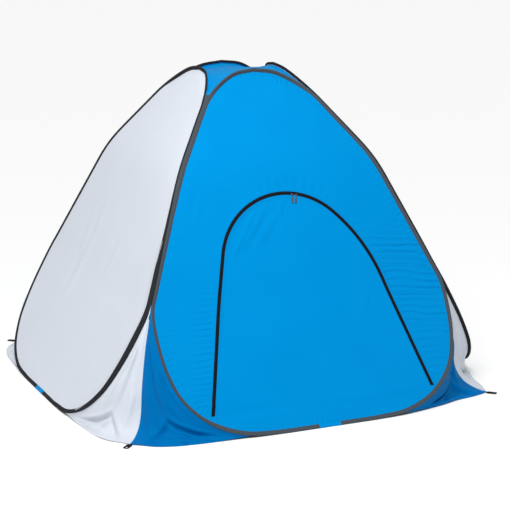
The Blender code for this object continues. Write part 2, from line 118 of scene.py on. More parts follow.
WALL_TURN = {"front": 0, "right": 90, "back": 180, "left": 270}
WALL_COLOUR = {"front": "blue", "right": "white", "back": "blue", "left": "white"}


# ---- wall surface ----

def knee(z, start, span):
    t = (z - start) / span
    c = np.clip(t, 0, 1)
    return span * np.where(t > 1, t - 0.5, c ** 3 - c ** 4 / 2)


def reach(z):
    """Distance of a wall from the centre at height z."""
    return (BASE_REACH - LEAN_LOW * z + (LEAN_LOW - LEAN_MID) * knee(z, LOW_KNEE, LOW_KNEE_SPAN)
            - (LEAN_TOP - LEAN_MID) * knee(z, TOP_KNEE, TOP_KNEE_SPAN))


TABLE_Z = np.arange(-0.05, 1.7, 0.004)
TABLE_S = np.concatenate([[0], np.cumsum(np.hypot(np.diff(TABLE_Z), np.diff(reach(TABLE_Z))))])
TABLE_S -= np.interp(0, TABLE_Z, TABLE_S)


def slope_at(z):
    return np.interp(z, TABLE_Z, TABLE_S)


def height_at(s):
    return np.interp(s, TABLE_S, TABLE_Z)


def on_wall(flat, lift=0.0):
    """Points of the front wall for flat (across, up the slope) points, raised off its outside."""
    flat = np.asarray(flat, float)
    z = height_at(flat[:, 1])
    lean = (reach(z - 0.002) - reach(z + 0.002)) / 0.004
    size = np.hypot(1, lean)
    lift = np.broadcast_to(lift, z.shape)
    return np.stack([flat[:, 0], -reach(z) - lift / size, z + lift * lean / size], 1)


def turned(points, degrees):
    a = math.radians(degrees)
    turn = np.array([[math.cos(a), -math.sin(a), 0], [math.sin(a), math.cos(a), 0], [0, 0, 1]])
    return np.asarray(points) @ turn.T


# ---- curves and noise ----

def between(a, b, start, end, t):
    return (a * (end - t) + b * (t - start)) / (end - start)


def spline(stations, per_span=40):
    """Centripetal Catmull-Rom curve through stations, ends included."""
    p = np.asarray(stations, float)
    p = np.vstack([2 * p[0] - p[1], p, 2 * p[-1] - p[-2]])
    curve = []
    for p0, p1, p2, p3 in zip(p, p[1:], p[2:], p[3:]):
        t1 = np.linalg.norm(p1 - p0) ** 0.5
        t2 = t1 + np.linalg.norm(p2 - p1) ** 0.5
        t3 = t2 + np.linalg.norm(p3 - p2) ** 0.5
        t = (t1 + (t2 - t1) * np.arange(per_span) / per_span)[:, None]
        a1, a2 = between(p0, p1, 0, t1, t), between(p1, p2, t1, t2, t)
        a3 = between(p2, p3, t2, t3, t)
        b1, b2 = between(a1, a2, 0, t2, t), between(a2, a3, t1, t3, t)
        curve.append(between(b1, b2, t1, t2, t))
    return np.vstack(curve + [p[-2][None]])


def unit(vectors):
    return vectors / np.maximum(np.linalg.norm(vectors, axis=-1), 1e-12)[..., None]


def lengths(line):
    """How far along a line each of its points is."""
    return np.concatenate([[0], np.cumsum(np.linalg.norm(np.diff(line, axis=0), axis=1))])


def resample(line, count, by=None):
    """count points spread evenly along an open line, by the length of its first columns."""
    along = lengths(line[:, :by])
    at = np.linspace(0, along[-1], count)
    return np.stack([np.interp(at, along, line[:, k]) for k in range(line.shape[1])], 1)


def normals_out(loop):
    """Unit normals of a closed flat loop that runs anticlockwise, pointing out of it."""
    step = np.roll(loop, -1, 0) - np.roll(loop, 1, 0)
    return unit(np.stack([step[:, 1], -step[:, 0]], 1))


def noise(x, y, seed):
    """Smooth noise from -1 to 1, one bump per unit."""
    x, y = np.broadcast_arrays(np.asarray(x, float), np.asarray(y, float))
    xi, yi = np.floor(x).astype(np.int64), np.floor(y).astype(np.int64)

    def corner(i, j):
        n = (i * 374761393 + j * 668265263 + seed * 362437) & 0x7FFFFFFF
        n = ((n ^ (n >> 13)) * 1274126177) & 0x7FFFFFFF
        return ((n ^ (n >> 16)) & 0xFFFF) / 32767.5 - 1

    fx, fy = x - xi, y - yi
    fx, fy = fx * fx * (3 - 2 * fx), fy * fy * (3 - 2 * fy)
    low = corner(xi, yi) * (1 - fx) + corner(xi + 1, yi) * fx
    high = corner(xi, yi + 1) * (1 - fx) + corner(xi + 1, yi + 1) * fx
    return low * (1 - fy) + high * fy


def nearest(points, line):
    """Distance from each point to a dense line, and how far along the line that is."""
    along = lengths(line)
    gap, at = np.empty(len(points)), np.empty(len(points))
    for i in range(0, len(points), 4000):
        d = ((points[i:i + 4000, None] - line[None]) ** 2).sum(2)
        k = d.argmin(1)
        gap[i:i + 4000] = np.sqrt(d[np.arange(len(k)), k])
        at[i:i + 4000] = along[k]
    return gap, at


def near(value, centre, width):
    """1 at the centre, falling to 0 within about twice the width."""
    return np.exp(-((value - centre) / width) ** 2)


def rise(value, low, high):
    """0 up to low, 1 from high on, smooth between. With low above high it falls instead."""
    t = np.clip((value - low) / (high - low), 0, 1)
    return t * t * (3 - 2 * t)


def waves(along, step, height, phase=0.0):
    return height * np.sin(2 * math.pi * along / step + phase)


# ---- outlines ----

def hoop_loop(count):
    """The hoop's wire, flat on its wall, as a closed anticlockwise loop from its foot."""
    foot = slope_at(HOOP_FOOT_Z)
    stations = [(0, foot), (0.10, foot), (0.24, foot + 0.001)]
    stations += [(x, slope_at(z)) for x, z in ((0.40, 0.020), (0.545, 0.077), (0.648, 0.175),
                                               (0.694, 0.29), (0.709, 0.41), (0.704, 0.52))]
    stations += [(reach(z) - RIDGE_GAP, slope_at(z))
                 for z in np.linspace(RIDGE_LOW_Z, RIDGE_HIGH_Z, 10)]
    stations += [(x, slope_at(z)) for x, z in ((0.20, 1.397), (0.10, 1.449), (0, HOOP_TOP_Z))]
    half = spline(stations)
    half[:, 0] = np.minimum(half[:, 0], reach(height_at(half[:, 1])) - RIDGE_GAP)
    whole = np.vstack([half, half[-2::-1] * (-1, 1)])
    return resample(whole, count + 1)[:-1]


def arch_line(out, foot=DOOR_FOOT_S, count=580):
    """The door's arch, flat, from the foot of its left leg over to its right, offset by out."""
    def arc(cx, cs, r, a, b):
        t = np.linspace(a, b, 60)
        return np.stack([cx + (r + out) * np.cos(t), cs + (r + out) * np.sin(t)], 1)

    def foot_of(top, lean, side):
        drop = (top[1] - foot) / math.cos(lean)
        return top + drop * np.array([side * math.sin(lean), -math.cos(lean)])

    back = ARCH_R - SHOULDER_R
    main = arc(ARCH_X, ARCH_S, ARCH_R, math.pi - LEFT_LEAN, SHOULDER_AT)
    shoulder = arc(ARCH_X + back * math.cos(SHOULDER_AT), ARCH_S + back * math.sin(SHOULDER_AT),
                   SHOULDER_R, SHOULDER_AT, RIGHT_LEAN)
    line = np.vstack([foot_of(main[0], LEFT_LEAN, -1), main, shoulder[1:],
                      foot_of(shoulder[-1], RIGHT_LEAN, 1)])
    return resample(line, count)


HOOP = hoop_loop(1000)
HOOP_OUT = normals_out(HOOP)
ARCH = arch_line(0.0)
DOOR_CENTRE = np.array([0.0, 0.45])


# ---- how the binding lies ----

def binding_turn(flat, wall):
    """Angle by which the binding stands off its wall: upright along the roof, and at two corners
    pulled over by the gusset, outward on the right wall and inward on the left one."""
    x, s = flat[:, 0], flat[:, 1]
    turn = TOP_TURN * rise(s, slope_at(1.345), slope_at(1.42))
    if wall == "right":
        turn = turn + SIDE_TURN * rise(-x, 0.40, 0.60) * rise(s, 0.95, 0.70)
    if wall == "left":
        turn = turn - SIDE_TURN * rise(x, 0.40, 0.62) * rise(s, 1.00, 0.70)
    return turn


def fullness(flat, wall):
    """Share by which the binding lies wider than usual: it is pulled slim or bunched in places."""
    x, s = flat[:, 0], flat[:, 1]
    if wall == "front":
        return -0.28 * rise(-x, 0.35, 0.55) * rise(s, 1.2, 0.9) * rise(s, 0.04, 0.14)
    if wall == "right":
        return rise(-x, 0.20, 0.45) * (0.16 + 0.34 * rise(s, 0.60, 0.85))
    slim = 0.40 * rise(x, 0.12, 0.28) * rise(s, 0.98, 1.15) if wall == "left" else 0.0
    return 0.32 * rise(x, 0.30, 0.55) * near(s, 0.45, 0.22) - slim


def wall_frames(flat, out, lift=0.0, turn=0.0):
    """Path along flat points, with vectors out of the hoop and off the wall, both turned."""
    path = on_wall(flat, lift)
    side = unit(on_wall(flat + out * 0.001, lift) - path)
    off = unit(on_wall(flat, lift + 0.001) - path)
    c, s = (np.broadcast_to(f(turn), len(path))[:, None] for f in (np.cos, np.sin))
    return path, side * c + off * s, off * c - side * s


def panel_edge(wall):
    """Where a wall's panel ends, inside its binding, flat."""
    back = PANEL_IN + PANEL_IN_TURNED * np.clip(-np.sin(binding_turn(HOOP, wall)), 0, 1)
    return HOOP - HOOP_OUT * back[:, None]


def seam_line(wall, hand=1):
    """Where the roof or a gusset is sewn to a wall's binding: at its foot where it stands up,
    else at the wire. A left hand's gusset is made mirrored."""
    turn = binding_turn(HOOP * (hand, 1), wall)
    path, side, off = wall_frames(HOOP, HOOP_OUT, turn=turn)
    foot = rise(turn, 0.0, 0.5)[:, None]
    return path + side * (0.003 - (SLEEVE_FLAT + 0.001) * foot) - off * (0.001 + 0.0012 * foot)


# ---- meshes ----

def add_mesh(name, points, faces, material, uv=None, sharp=55):
    """Mesh object, smooth but for edges sharper than so many degrees, or flat if that is None."""
    mesh = bpy.data.meshes.new(name)
    faces = faces.tolist() if isinstance(faces, np.ndarray) else faces
    mesh.from_pydata(np.asarray(points).reshape(-1, 3).tolist(), [], faces)
    if uv is not None:
        layer = mesh.uv_layers.new(name="cloth")
        loops = np.zeros(len(mesh.loops), np.int32)
        mesh.loops.foreach_get("vertex_index", loops)
        layer.data.foreach_set("uv", np.asarray(uv, np.float32).reshape(-1, 2)[loops].ravel())
    if sharp is not None:
        mesh.shade_smooth()
        mesh.set_sharp_from_angle(angle=math.radians(sharp))
    mesh.materials.append(material)
    obj = bpy.data.objects.new(name, mesh)
    bpy.context.collection.objects.link(obj)
    return obj


def grid_faces(rows, columns, closed=False):
    """Quads over rows x columns points. closed joins the last column to the first."""
    i = np.arange(rows - 1)[:, None]
    j = np.arange(columns if closed else columns - 1)[None]
    k = (j + 1) % columns
    a, b, c, d = i * columns + j, i * columns + k, (i + 1) * columns + k, (i + 1) * columns + j
    return np.stack([x.ravel() for x in np.broadcast_arrays(a, b, c, d)], 1)


def grid_normals(grid, closed=False):
    across = np.roll(grid, -1, 1) - np.roll(grid, 1, 1) if closed else np.gradient(grid, axis=1)
    return unit(np.cross(np.gradient(grid, axis=0), across))


def cloth(name, grid, uv, material, closed=False):
    """Grid of points as cloth with a real thickness and a rim. closed: its columns go round."""
    rows, columns = grid.shape[:2]
    normal = grid_normals(grid, closed) * SKIN / 2
    face = grid_faces(rows, columns, closed)
    index = np.arange(rows * columns).reshape(rows, columns)
    if closed:
        loops = [np.append(index[0], index[0, 0]), np.append(index[-1], index[-1, 0])[::-1]]
    else:
        loops = [np.concatenate([index[0], index[1:, -1], index[-1, -2::-1], index[-2::-1, 0]])]
    rims = [np.stack([a[1:], a[:-1], a[:-1] + index.size, a[1:] + index.size], 1) for a in loops]
    faces = np.vstack([face, face[:, ::-1] + index.size] + rims)
    points = np.concatenate([grid - normal, grid + normal])
    return add_mesh(name, points, faces, material, np.concatenate([uv, uv]))


def tube(name, path, frames, profile, material):
    """Closed profile of (side, off) points swept along a path with (side, off) frame vectors."""
    side, off = frames
    profile = np.asarray(profile, float)
    points = (path[:, None] + side[:, None] * profile[None, :, :1]
              + off[:, None] * profile[None, :, 1:2])
    rows, columns = len(path), len(profile)
    faces = grid_faces(rows, columns, closed=True).tolist()
    faces += [list(range(columns))[::-1], ((rows - 1) * columns + np.arange(columns)).tolist()]
    around = lengths(np.vstack([profile, profile[:1]]))[:-1]
    uv = np.stack(np.broadcast_arrays(lengths(path)[:, None], around[None]), 2)
    return add_mesh(name, points, faces, material, uv)


GRAIN_SHAPE = np.array([(-0.5, 0, -0.3), (-0.3, 0, 1), (0.3, 0, 1), (0.5, 0, -0.3), (0, 1, 0.2),
                        (0, -1, 0.2), (0, 0, -1.2)])
GRAIN_FACES = np.array([(0, 1, 4), (1, 2, 4), (2, 3, 4), (0, 5, 1), (1, 5, 2), (2, 5, 3),
                        (0, 4, 6), (4, 3, 6), (3, 5, 6), (5, 0, 6)])


def grains(name, places, frames, size, material):
    """One small rounded grain at each place: size is (along, across, off) its frame vectors."""
    shape = GRAIN_SHAPE * size
    points = sum(frame[:, None] * shape[None, :, k:k + 1] for k, frame in enumerate(frames))
    points = points + places[:, None]
    step = len(GRAIN_SHAPE) * np.arange(len(places))
    faces = GRAIN_FACES[None] + step[:, None, None]
    return add_mesh(name, points, faces.reshape(-1, 3), material, sharp=180)


def stitches(name, line, off, material):
    """A row of raised thread stitches along a line of points, off being the way out."""
    count = max(2, int(lengths(line)[-1] / STITCH_STEP))
    both = resample(np.hstack([line, off]), count, by=3)
    places, up = both[:, :3], both[:, 3:]
    along = unit(np.gradient(places, axis=0))
    across = np.cross(up, along)
    return grains(name, places, (along, across, up), (STITCH_LENGTH, STITCH_R, STITCH_R), material)


# ---- materials ----

# Colours are linear. Texture scales are bands or bumps a metre of cloth.
WEAVE_SCALE, CRINKLE_SCALE, DYE_SCALE, FUZZ_SCALE, GRAIN_SCALE = 260.0, 85.0, 5.0, 900.0, 700.0
FABRIC_ROUGHNESS, TAPE_ROUGHNESS, COIL_ROUGHNESS = 0.6, 0.85, 0.45


def shader_nodes(name, colour, roughness, metallic=0.0):
    material = bpy.data.materials.new(name)
    material.use_nodes = True
    shader = material.node_tree.nodes["Principled BSDF"]
    shader.inputs["Base Color"].default_value = (*colour, 1)
    shader.inputs["Roughness"].default_value = roughness
    shader.inputs["Metallic"].default_value = metallic
    return material, material.node_tree, shader


def dye(tree, shader, factor, low, high):
    """Colour a shader from low to high by a factor."""
    mix = tree.nodes.new("ShaderNodeMix")
    mix.data_type = "RGBA"
    mix.inputs["A"].default_value = (*low, 1)
    mix.inputs["B"].default_value = (*high, 1)
    tree.links.new(factor, mix.inputs["Factor"])
    tree.links.new(mix.outputs["Result"], shader.inputs["Base Color"])


def texture(tree, kind, source, **values):
    node = tree.nodes.new(kind)
    tree.links.new(source, node.inputs["Vector"])
    for key, value in values.items():
        if key in node.inputs:
            node.inputs[key].default_value = value
        else:
            setattr(node, key, value)
    return node


def add_bumps(tree, shader, layers):
    """Stacked bumps: (height output, strength, distance)."""
    last = None
    for height, strength, distance in layers:
        bump = tree.nodes.new("ShaderNodeBump")
        bump.inputs["Strength"].default_value = strength
        bump.inputs["Distance"].default_value = distance
        tree.links.new(height, bump.inputs["Height"])
        if last:
            tree.links.new(last.outputs["Normal"], bump.inputs["Normal"])
        last = bump
    tree.links.new(last.outputs["Normal"], shader.inputs["Normal"])


def weave_height(tree, source):
    """Plain weave: two crossed sets of threads."""
    both = tree.nodes.new("ShaderNodeMath")
    both.operation = "MULTIPLY"
    for slot, way in enumerate("XY"):
        threads = texture(tree, "ShaderNodeTexWave", source, Scale=WEAVE_SCALE,
                          bands_direction=way)
        tree.links.new(threads.outputs["Color"], both.inputs[slot])
    return both.outputs[0]


def fabric(name, colour, shade, sheen):
    """Coated woven polyester, with a fine weave and slight unevenness in the dye."""
    material, tree, shader = shader_nodes(name, colour, FABRIC_ROUGHNESS)
    shader.inputs["Specular IOR Level"].default_value = 0.12
    shader.inputs["Specular Tint"].default_value = (*(c / max(colour) for c in colour), 1)
    shader.inputs["Sheen Tint"].default_value = (*colour, 1)
    shader.inputs["Sheen Weight"].default_value = sheen
    shader.inputs["Sheen Roughness"].default_value = 0.4
    uv = tree.nodes.new("ShaderNodeTexCoord").outputs["UV"]
    cloudy = texture(tree, "ShaderNodeTexNoise", uv, Scale=DYE_SCALE, Detail=4.0)
    dye(tree, shader, cloudy.outputs["Fac"], shade, colour)
    crinkle = texture(tree, "ShaderNodeTexNoise", uv, Scale=CRINKLE_SCALE, Detail=3.0)
    add_bumps(tree, shader, [(weave_height(tree, uv), 0.25, 0.0002),
                             (crinkle.outputs["Fac"], 0.25, 0.0006)])
    return material


def tape(name, colour, shade, ribs, roughness=TAPE_ROUGHNESS):
    """Woven tape with cross ribs at so many a metre."""
    material, tree, shader = shader_nodes(name, colour, roughness)
    shader.inputs["Specular IOR Level"].default_value = 0.15
    uv = tree.nodes.new("ShaderNodeTexCoord").outputs["UV"]
    rib = texture(tree, "ShaderNodeTexWave", uv, Scale=ribs, bands_direction="X")
    fuzz = texture(tree, "ShaderNodeTexNoise", uv, Scale=FUZZ_SCALE, Detail=2.0)
    dye(tree, shader, rib.outputs["Fac"], shade, colour)
    add_bumps(tree, shader, [(rib.outputs["Fac"], 0.5, 0.0004),
                             (fuzz.outputs["Fac"], 0.3, 0.0002)])
    return material


def metal(name, colour, roughness):
    material, tree, shader = shader_nodes(name, colour, roughness, 1.0)
    place = tree.nodes.new("ShaderNodeTexCoord").outputs["Object"]
    grain = texture(tree, "ShaderNodeTexNoise", place, Scale=GRAIN_SCALE, Detail=2.0)
    add_bumps(tree, shader, [(grain.outputs["Fac"], 0.2, 0.0001)])
    return material


MATERIALS = {
    "blue": fabric("blue_fabric", (0.0, 0.241, 0.585), (0.0, 0.220, 0.55), 0.03),
    # A darker copy of the blue fabric for the blue gussets: painted shade.
    "gusset_shade": fabric("blue_skirt_fabric", (0.0, 0.150, 0.42), (0.0, 0.130, 0.38), 0.03),
    "white": fabric("white_fabric", (0.61, 0.65, 0.71), (0.585, 0.625, 0.69), 0.05),
    # Two copies of one grey binding: a lighter one for the front hoop and the front left ridge,
    # painted light, and a darker one for the others, painted shade.
    "grey": tape("grey_binding", (0.070, 0.084, 0.098), (0.045, 0.056, 0.068), 160.0),
    "charcoal": tape("charcoal_binding", (0.022, 0.024, 0.028), (0.012, 0.013, 0.016), 160.0),
    "webbing": tape("black_webbing", (0.010, 0.010, 0.011), (0.005, 0.005, 0.006), 130.0),
    "zip": tape("zip_tape", (0.008, 0.011, 0.018), (0.004, 0.006, 0.010), 240.0),
    "coil": tape("zip_coil", (0.006, 0.007, 0.010), (0.004, 0.005, 0.007), 240.0,
                 COIL_ROUGHNESS),
    "thread_grey": tape("thread_grey", (0.045, 0.052, 0.06), (0.035, 0.04, 0.046), 900.0),
    "thread_blue": tape("thread_blue", (0.0, 0.20, 0.52), (0.0, 0.16, 0.42), 900.0),
    "thread_white": tape("thread_white", (0.62, 0.66, 0.72), (0.52, 0.56, 0.62), 900.0),
    "metal": metal("zip_metal", (0.17, 0.17, 0.18), 0.35),
    "steel": metal("spring_steel", (0.5, 0.5, 0.5), 0.3),
}


def settle(obj, body, node=None):
    """Ride a finished piece on its body and the CAD node it stands for."""
    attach(obj, body)
    if node:
        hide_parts(node)


# ---- fabric relief ----
# Heights of the cloth off the smooth wall, at flat points.

GATHER_STEP, GATHER_HEIGHT = 0.026, 0.0026          # gathers at the binding
PUCKER_STEP, PUCKER_HEIGHT = 0.0105, 0.0006         # small puckers between them
SLACK_HEIGHT, RUMPLE_HEIGHT = 0.0034, 0.0010        # broad and narrow unevenness
CLOTH_ON_TAPE, TURNED_EDGE = 0.0009, 0.0006         # lift beside the zip, and of its turned edge

# Creases on the front wall: start, end, width and height
FRONT_CREASES = (
    # Inside the upper left of the arch
    ((-0.09, 1.02), (-0.27, 0.80), 0.016, 0.0030), ((-0.05, 0.98), (-0.20, 0.80), 0.018, 0.0024),
    ((-0.15, 1.00), (-0.32, 0.76), 0.012, 0.0026), ((-0.01, 1.04), (-0.05, 0.95), 0.010, 0.0020),
    # Elsewhere
    ((0.33, 0.60), (0.25, 0.44), 0.020, 0.0014), ((0.30, 1.28), (0.40, 1.14), 0.014, 0.0020),
    ((-0.45, 0.95), (-0.38, 1.12), 0.016, 0.0018), ((-0.56, 0.20), (-0.46, 0.12), 0.012, 0.0024))


def crease(flat, start, end, width, height):
    """One soft crease from start to end, sharper on one side, fading at both ends."""
    start, end = np.array(start, float), np.array(end, float)
    way = (end - start) / np.linalg.norm(end - start)
    t = (flat - start) @ way / np.linalg.norm(end - start)
    d = (flat - start) @ np.array([-way[1], way[0]])
    fade = rise(t, 0, 0.3) * rise(t, 1, 0.6)
    return height * fade * (near(d, 0, width) - 0.45 * near(d, 1.5 * width, 1.2 * width))


def hem_gathers(flat, wall, seed, lively):
    """Gathers square to the binding that fade inward, and soft slack. Gives their height, the
    distance in from the panel's edge, and how far the cloth sinks with a turned binding."""
    edge = panel_edge(wall)
    gap, along = nearest(flat, edge)
    strength = lively * (0.75 + 0.45 * noise(along / 0.15, 0.0, seed))
    deep = 0.034 * (1.1 + 0.5 * noise(along / 0.045, 3.0, seed + 1))
    uneven = along + GATHER_STEP * 0.9 * noise(along / 0.07, gap / 0.10, seed + 2)
    height = strength * np.exp(-gap / deep) * waves(uneven, GATHER_STEP, GATHER_HEIGHT)
    height += strength * np.exp(-gap / 0.016) * waves(along, PUCKER_STEP, PUCKER_HEIGHT)
    foot = SLEEVE_FLAT * np.interp(along, lengths(edge), np.sin(binding_turn(HOOP, wall)))
    slack = SLACK_HEIGHT * noise(flat[:, 0] / 0.33, flat[:, 1] / 0.27, seed + 3)
    slack += RUMPLE_HEIGHT * noise(flat[:, 0] / 0.11, flat[:, 1] / 0.14, seed + 4)
    return height + slack * rise(gap, 0.0, 0.09), gap, foot * near(gap, 0.003, 0.030)


def front_relief(flat):
    """The front wall and its door, as one, so that the two meet along the door's foot."""
    x, s = flat[:, 0], flat[:, 1]
    low_left = near(x, -0.56, 0.14) * near(s, 0.38, 0.26)
    lively = 0.60 + 0.60 * low_left + 0.90 * near(s, 1.62, 0.18) + 0.5 * rise(x, 0.30, 0.50)
    height, edge_gap, sunk = hem_gathers(flat, "front", 11, lively)
    gap, along = nearest(flat, ARCH)
    top = len(ARCH) // 2
    zip_left = np.interp(s, ARCH[:top, 1], ARCH[:top, 0])
    zip_right = np.interp(s, ARCH[:top:-1, 1], ARCH[:top:-1, 0])

    # Right of the door the cloth is drawn in level wrinkles from the zip to the hoop.
    band = rise(x - zip_right, 0.004, 0.03) * rise(s, 0.12, 0.24) * rise(s, 1.02, 0.72)
    level = s + 0.5 * (x - zip_right) ** 2 + 0.010 * noise(x / 0.10, s / 0.09, 21)
    strength = 0.75 + 0.55 * noise(x / 0.13, s / 0.055, 22)
    height += band * strength * (waves(level, 0.033, 0.0023) + waves(level, 0.0185, 0.0012, 1))
    # Left of it short level puckers run out from the zip's leg.
    gap_left = zip_left - x
    band = rise(gap_left, 0.004, 0.02) * rise(gap_left, 0.16, 0.03)
    band = band * rise(s, 0.11, 0.18) * rise(s, 0.78, 0.45)
    level = s + 0.007 * noise(x / 0.08, s / 0.07, 23)
    height += band * (waves(level, 0.026, 0.0015) + waves(level, 0.0145, 0.0008))
    # Over the top of the arch they stand upright and are fainter.
    over = rise(s, 0.95, 1.10) * near(gap, 0.035, 0.045) * rise(s, 1.30, 1.12)
    height += over * waves(along / 0.036 + noise(along / 0.1, 2, 24), 1, 0.0009)
    # The turned edges of the cloth lie flat along the zip, over its tapes, with fine puckers.
    loose = rise(gap, 0.009, 0.030)
    height = height * loose + CLOTH_ON_TAPE * (1 - loose)
    height += TURNED_EDGE * near(gap, 0.0125, 0.0035)
    height += np.exp(-gap / 0.012) * waves(along, 0.012, 0.0005)
    for start, end, width, tall in FRONT_CREASES:
        height += crease(flat, start, end, width, tall)
    hinge = (np.abs(x) < 0.5) * near(s, DOOR_FOOT_S, 0.020)
    return height * (1 - hinge) * rise(edge_gap, 0.007, 0.020) - sunk


def plain_relief(flat, wall, seed):
    """A wall with no door: gathers at the binding and a few long soft creases."""
    lively = 0.45 + 0.35 * near(flat[:, 1], 0.15, 0.35) + 0.40 * near(flat[:, 1], 1.62, 0.20)
    height, edge_gap, sunk = hem_gathers(flat, wall, seed, lively)
    for k in range(5):
        x, s = 0.42 * noise(k * 1.7, 0.5, seed + 5), 0.55 + 0.4 * noise(k * 1.3, 4.5, seed + 6)
        lean = 0.10 * noise(k * 2.1, 8.5, seed + 7)
        height += crease(flat, (x, s), (x + lean, s + 0.26), 0.030, 0.0022)
    return height * rise(edge_gap, 0.007, 0.020) - sunk


# ---- panels and door ----

def coons(left, right, top, bottom):
    """Grid between four boundary lines. left and right run from top to bottom."""
    v = np.linspace(0, 1, len(left))[:, None, None]
    u = np.linspace(0, 1, len(top))[None, :, None]
    corners = ((top[0] * (1 - u) + top[-1] * u) * (1 - v)
               + (bottom[0] * (1 - u) + bottom[-1] * u) * v)
    return (left[:, None] * (1 - u) + right[:, None] * u + top[None] * (1 - v)
            + bottom[None] * v - corners)


def fill(loop, corners, rows, columns):
    """Grid inside a closed anticlockwise loop, between its low right, top right, top left and low
    left corners."""
    loop = np.roll(loop, -corners[3], 0)
    a, b, c = ((k - corners[3]) % len(loop) for k in corners[:3])
    loop = np.vstack([loop, loop[:1]])
    return coons(resample(loop[c:], rows), resample(loop[a:b + 1], rows)[::-1],
                 resample(loop[b:c + 1], columns)[::-1], resample(loop[:a + 1], columns))


def nearest_point(loop, point):
    return int(((loop - np.array(point)) ** 2).sum(1).argmin())


def ray_loop(line, centre, angles):
    """Where rays from a centre, at each of some angles, cross a closed line."""
    away = line - centre
    at = np.unwrap(np.arctan2(away[:, 1], away[:, 0]))
    if at[-1] < at[0]:
        at, away = at[::-1], away[::-1]
    angles = at[0] + (angles - at[0]) % (2 * math.pi)
    at = np.append(at, at[0] + 2 * math.pi)
    away = np.vstack([away, away[:1]])
    return centre + np.stack([np.interp(angles, at, away[:, k]) for k in (0, 1)], 1)


def door_outline(out):
    """The door's closed outline, clockwise: its arch, then its foot."""
    arch = arch_line(out)
    foot = np.stack([np.linspace(arch[-1, 0], arch[0, 0], 200), np.full(200, DOOR_FOOT_S)], 1)
    return np.vstack([arch, foot[1:-1]])


def add_panel(node, wall, body, flat, relief, closed=False):
    """A wall's cloth, or the door's, on a grid of flat points with a relief(points)."""
    points = flat.reshape(-1, 2)
    grid = turned(on_wall(points, relief(points)), WALL_TURN[wall]).reshape(*flat.shape[:-1], 3)
    colour = WALL_COLOUR[wall]
    piece = cloth(f"{node}_cloth", grid, flat, MATERIALS[colour], closed)
    settle(piece, body, node)


def make_front_panel():
    outline, edge = door_outline(ZIP_BAND), panel_edge("front")
    away = edge - DOOR_CENTRE
    inner = ray_loop(outline, DOOR_CENTRE, np.arctan2(away[:, 1], away[:, 0]))
    for corner in (outline[0], arch_line(ZIP_BAND)[-1]):
        inner[nearest_point(inner, corner)] = corner
    r = np.linspace(0, 1, 48)[:, None, None]
    add_panel("front_panel", "front", "front_wall", inner[None] * (1 - r) + edge[None] * r,
              front_relief,
              closed=True)


def make_door():
    outline = door_outline(-ZIP_BAND)[::-1]
    arch = arch_line(-ZIP_BAND)
    corners = [nearest_point(outline, p) for p in (arch[-1], arch[int(len(arch) * 0.62)],
                                                   arch[int(len(arch) * 0.40)], arch[0])]
    add_panel("door_flap", "front", "door", fill(outline, corners, 190, 190), front_relief)


def make_plain_panels():
    spots = ((0.62, 0.14), (0.26, 1.56), (-0.26, 1.56), (-0.62, 0.14))
    for seed, wall in enumerate(("left", "right", "back")):
        edge = panel_edge(wall)
        flat = fill(edge, [nearest_point(edge, p) for p in spots], 220, 180)
        add_panel(f"{wall}_panel", wall, f"{wall}_wall", flat,
                  lambda points: plain_relief(points, wall, 100 + 20 * seed))


# ---- binding sleeves, wires and patches ----

def sleeve_shape():
    """Cross section of the binding: a bead round the wire and a flat down to the cloth."""
    bead = [(BEAD_R * math.cos(a), BEAD_R * math.sin(a))
            for a in np.linspace(-math.radians(125), math.radians(125), 13)]
    flat_top = [(-0.0062, 0.0024), (-0.0095, 0.0017), (-SLEEVE_FLAT + 0.0006, 0.0015),
                (-SLEEVE_FLAT, 0.0009)]
    return bead + flat_top + [(x, -y) for x, y in reversed(flat_top)]


def swept(name, wall, path, side, off, profile, material):
    """A profile swept along a path of the front wall, turned to another wall."""
    turn = WALL_TURN[wall]
    return tube(name, turned(path, turn), (turned(side, turn), turned(off, turn)), profile,
                material)


